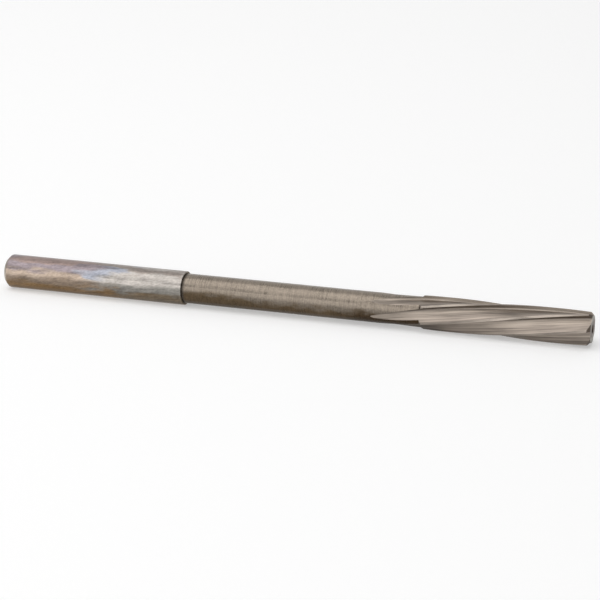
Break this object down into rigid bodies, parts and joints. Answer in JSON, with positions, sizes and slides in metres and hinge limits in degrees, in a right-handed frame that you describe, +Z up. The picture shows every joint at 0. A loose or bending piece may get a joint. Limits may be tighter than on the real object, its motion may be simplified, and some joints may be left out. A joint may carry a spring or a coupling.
{
  "type": "machine reamer",
  "caption": "One-piece straight-shank machine reamer with a thicker plain shank, a ground neck and left-hand spiral flutes for finishing drilled holes.",
  "frame": {"origin": "middle of the tool's length, on the surface it lies on, straight below the tool's axis", "axes": "+X along the tool's axis towards the cutting end, +Z up, away from the surface it lies on"},
  "size_m": [0.08, 0.0044, 0.0045],
  "materials": {
    "high_speed_steel": "ground, with brown and straw heat tint on the shank"
  },
  "bodies": {
    "root": {"reamer": "high_speed_steel"}
  },
  "joints": []
}
